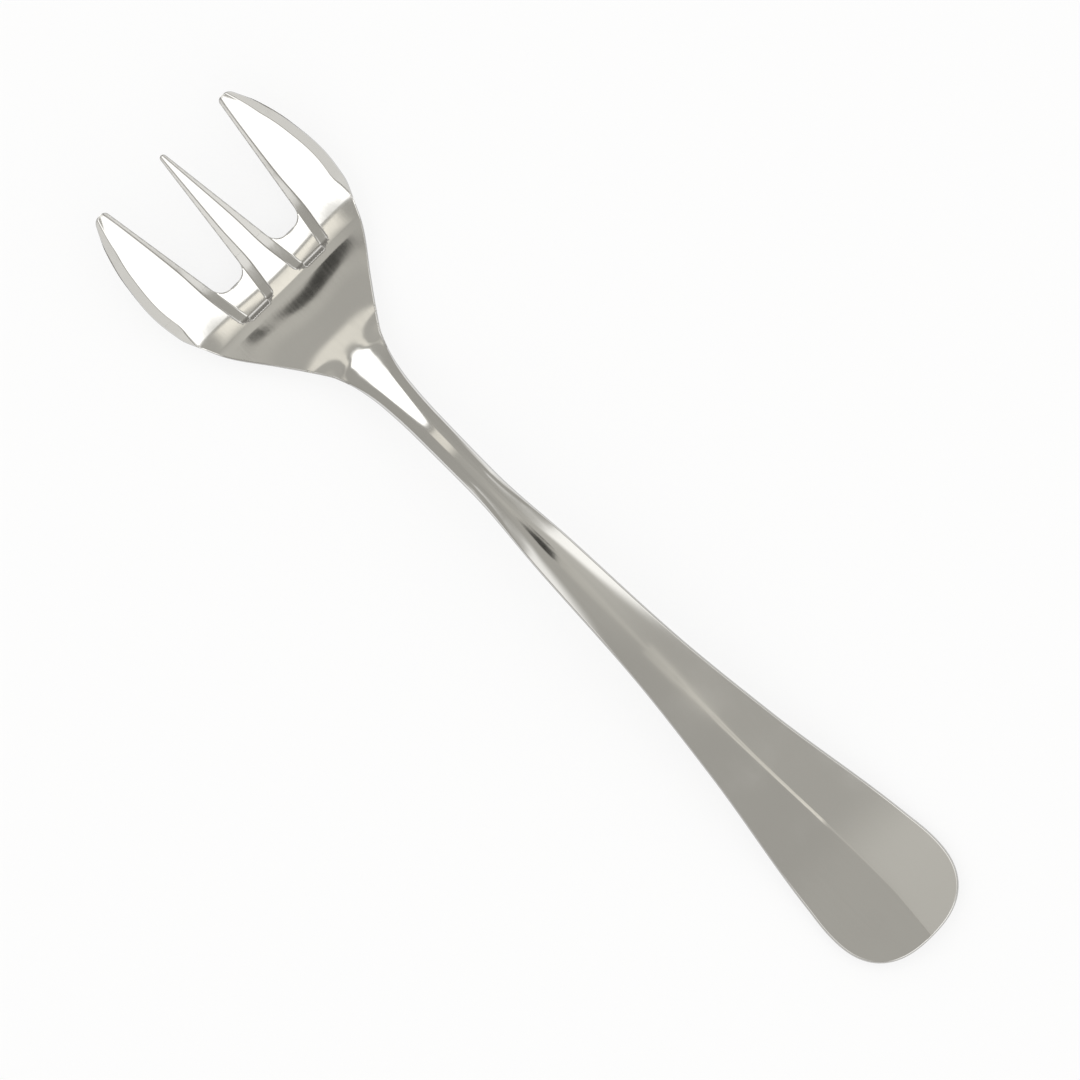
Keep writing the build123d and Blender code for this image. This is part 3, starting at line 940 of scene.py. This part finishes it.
def light_studio(settings):
    """Light the world: a grey ceiling, white panels and cards, cream strips and the dark camera.

    Each light fills the directions in which one of the fork's faces mirrors it to the camera, where x is
    towards the tips of the tines, y towards the left tine and z up.
    """
    world = bpy.data.worlds.new("studio")
    world.use_nodes = True
    bpy.context.scene.world = world
    kit = Kit(world.node_tree)
    direction = kit.add("ShaderNodeTexCoord", output="Generated")
    x, y, z = (kit.add("ShaderNodeSeparateXYZ", {}, {"Vector": direction}, output=axis) for axis in "XYZ")

    def oval(middle, radii):
        """Return less than 1 for the directions inside an oval."""
        return ((x - middle[0]) / radii[0])**2.0 + ((y - middle[1]) / radii[1])**2.0

    flat = (x * x + y * y + LEAST_FLAT)**0.5
    behind = (-x / flat).step(0.64, 0.84)
    back_panel = behind * z.band(0.56, 0.86, 0.005)
    back_strip = behind * y.band(-0.12, 0.12, 0.03) * z.band(0.884, 0.922, 0.005)
    front_panel = (x - 0.4 * y * y).step(0.52, 0.55) * (1.0 - x.step(0.78, 0.84)) * y.band(-0.52, 0.52, 0.04)
    front_strip = x.band(0.355, 0.465, 0.02) * y.band(-0.26, 0.26, 0.07)
    beside = z.step(0.5, 0.62) * (1.0 - (x / flat).step(0.16, 0.22))
    right_panel = beside * (-y).step(0.24, 0.38) * x.step(-0.39, -0.27)
    left_panel = beside * y.step(0.29, 0.5) * x.step(-0.3, -0.16)
    low_card = (3.0 * (0.3 - z) - x).step(-0.11, -0.04)
    low_card = low_card * (1.0 - z.step(0.45, 0.52)) * (1.0 - x.step(0.08, 0.16))
    low_glow = 0.28 + 0.14 * z.step(0.34, 0.42)
    right_card = (-y).step(0.7, 0.85) * x.band(-0.07, 0.2, 0.05) * (1.0 - z.step(0.24, 0.32))
    ridge_strip = y.band(-0.08, 0.08, 0.05) * x.band(-0.46, 0.16, 0.04)
    white = (
        back_panel + front_panel + 0.55 * right_panel + 0.5 * left_panel
        + low_glow * low_card + 0.28 * right_card)
    cream = 0.46 * back_strip + 0.36 * front_strip + 0.06 * ridge_strip
    near_end = x.step(-0.42, -0.08) * (1.0 - x.step(0.0, 0.15))
    warmer_side = (1.0 - y.step(-0.2, 0.1)) * z.step(0.6, 0.8)
    grey = 0.88 + 0.09 * z.step(0.9, 0.97) + warmer_side * (0.05 + 0.18 * near_end)
    camera = oval((0.028, 0.034), (0.05, 0.062))
    hand = oval((0.034, -0.06), (0.034, 0.018))
    camera_body = (1.0 - camera.math("MINIMUM", hand).step(0.8, 1.0)) * z.step(0.9, 0.95)
    shades = [
        (settings.panel * (white + warmth * cream) + tint * grey) * (1.0 - CAMERA_DARKNESS * camera_body)
        for warmth, tint in zip(settings.strip_color, settings.ceiling)]
    dome = kit.add("ShaderNodeCombineColor", {}, dict(enumerate(shades)))
    seen = kit.add("ShaderNodeLightPath", output="Is Camera Ray")
    spread_light = kit.add("ShaderNodeLightPath", output="Is Diffuse Ray")
    studio = kit.add("ShaderNodeBackground", {}, {"Color": dome, "Strength": 1.0})
    blank = kit.add("ShaderNodeBackground", {}, {"Color": (1.0, 1.0, 1.0, 1.0), "Strength": 1.0})
    shown = kit.add("ShaderNodeMixShader", {}, {0: seen + spread_light, 1: studio, 2: blank})
    kit.add("ShaderNodeOutputWorld", {}, {"Surface": shown})


class FORK_OT_tines(bpy.types.Operator):
    """Skin the three tines"""

    bl_idname = "fork.tines"
    bl_label = "Skin the tines"

    def execute(self, context):
        left = outer_tine_rim()
        rims = {"tine_left": left, "tine_middle": middle_tine_rim(), "tine_right": mirrored(left)}
        for node, rim in rims.items():
            forge(context, node, [rim], 0.0, TINE_SEAM, FINE_STEP)
        return {"FINISHED"}


class FORK_OT_head(bpy.types.Operator):
    """Skin the head with its dished palm"""

    bl_idname = "fork.head"
    bl_label = "Skin the head"

    def execute(self, context):
        slot = slot_rim()
        flank = side(TINE_SEAM - RIM_STEP, NECK_SEAM + RIM_STEP, half_width)
        rims = [mirrored(flank), mirrored(slot), slot, flank]
        forge(context, "head", rims, TINE_SEAM, NECK_SEAM, FINE_STEP)
        return {"FINISHED"}


class FORK_OT_neck(bpy.types.Operator):
    """Skin the round neck"""

    bl_idname = "fork.neck"
    bl_label = "Skin the neck"

    def execute(self, context):
        settings = context.scene.fork_forge
        tree = make_neck_nodes()
        piece = bpy.data.objects.new("neck_skin", bpy.data.meshes.new("neck_blank"))
        context.scene.collection.objects.link(piece)
        sweep = piece.modifiers.new("sweep", "NODES")
        sweep.node_group = tree
        values = {
            "First station": NECK_SEAM,
            "Last station": WAIST,
            "Rim rounding": settings.rim_round / MM,
            "Middle softness": settings.ridge_soft / MM,
            "Rings": NECK_RINGS,
            "Points round": NECK_POINTS,
            "Steel": get_steel(context.scene.fork_steel),
        }
        for name, value in values.items():
            sweep[tree.interface.items_tree[name].identifier] = value
        mesh = bpy.data.meshes.new_from_object(piece.evaluated_get(context.evaluated_depsgraph_get()))
        if not mesh.polygons:
            raise RuntimeError("the neck's nodes made no faces")
        piece.modifiers.clear()
        piece.data = mesh
        set_in_place(piece, "neck")
        return {"FINISHED"}


class FORK_OT_handle(bpy.types.Operator):
    """Skin the ridged handle"""

    bl_idname = "fork.handle"
    bl_label = "Skin the handle"

    def execute(self, context):
        forge(context, "handle", [handle_rim()], WAIST, LENGTH, BROAD_STEP)
        return {"FINISHED"}


class FORK_OT_stage(bpy.types.Operator):
    """Lay the floor, light the studio and aim the camera"""

    bl_idname = "fork.stage"
    bl_label = "Set the stage"

    def execute(self, context):
        settings = context.scene.fork_stage
        reach = settings.floor_size / 2
        level = min(CAD_BOX[0][2], 0.0)
        mesh = bpy.data.meshes.new("floor")
        corners = [(reach * a, reach * b, level) for a, b in ((-1, -1), (1, -1), (1, 1), (-1, 1))]
        mesh.from_pydata(corners, [], [(0, 1, 2, 3)])
        mesh.materials.append(make_floor_paper(settings))
        floor = bpy.data.objects.new("floor", mesh)
        context.scene.collection.objects.link(floor)
        light_studio(settings)
        lens = bpy.data.cameras.new("overhead_camera")
        lens.sensor_fit = "HORIZONTAL"
        view_width = PHOTO_SIZE / PHOTO_SCALE * MM
        lens.lens = lens.sensor_width * settings.camera_height / view_width
        lens.clip_start = settings.camera_height / 10
        camera = bpy.data.objects.new("overhead_camera", lens)
        context.scene.collection.objects.link(camera)
        camera.matrix_world = (
            Matrix.Translation((settings.camera_ahead, 0.0, settings.camera_height))
            @ Matrix.Rotation(settings.camera_turn, 4, "Z"))
        context.scene.camera = camera
        context.scene.view_settings.view_transform = "Standard"
        return {"FINISHED"}


class FORK_PT_panel(bpy.types.Panel):
    """Lists the fork's settings and its steps"""

    bl_idname = "FORK_PT_panel"
    bl_label = "Oyster fork"
    bl_space_type = "VIEW_3D"
    bl_region_type = "UI"
    bl_category = "Fork"

    def draw(self, context):
        scene = context.scene
        for settings in (scene.fork_forge, scene.fork_steel, scene.fork_stage):
            for name in settings.__annotations__:
                self.layout.prop(settings, name)
        for operator in OPERATORS:
            self.layout.operator(operator.bl_idname)


OPERATORS = (FORK_OT_stage, FORK_OT_tines, FORK_OT_head, FORK_OT_neck, FORK_OT_handle)
CLASSES = (ForgeSettings, SteelSettings, StageSettings, *OPERATORS, FORK_PT_panel)


def register():
    for cls in CLASSES:
        bpy.utils.register_class(cls)
    bpy.types.Scene.fork_forge = PointerProperty(type=ForgeSettings)
    bpy.types.Scene.fork_steel = PointerProperty(type=SteelSettings)
    bpy.types.Scene.fork_stage = PointerProperty(type=StageSettings)


def unregister():
    del bpy.types.Scene.fork_stage
    del bpy.types.Scene.fork_steel
    del bpy.types.Scene.fork_forge
    for cls in reversed(CLASSES):
        bpy.utils.unregister_class(cls)


def main():
    register()
    bpy.ops.fork.stage()
    bpy.ops.fork.tines()
    bpy.ops.fork.head()
    bpy.ops.fork.neck()
    bpy.ops.fork.handle()


if __name__ == "__main__":
    main()
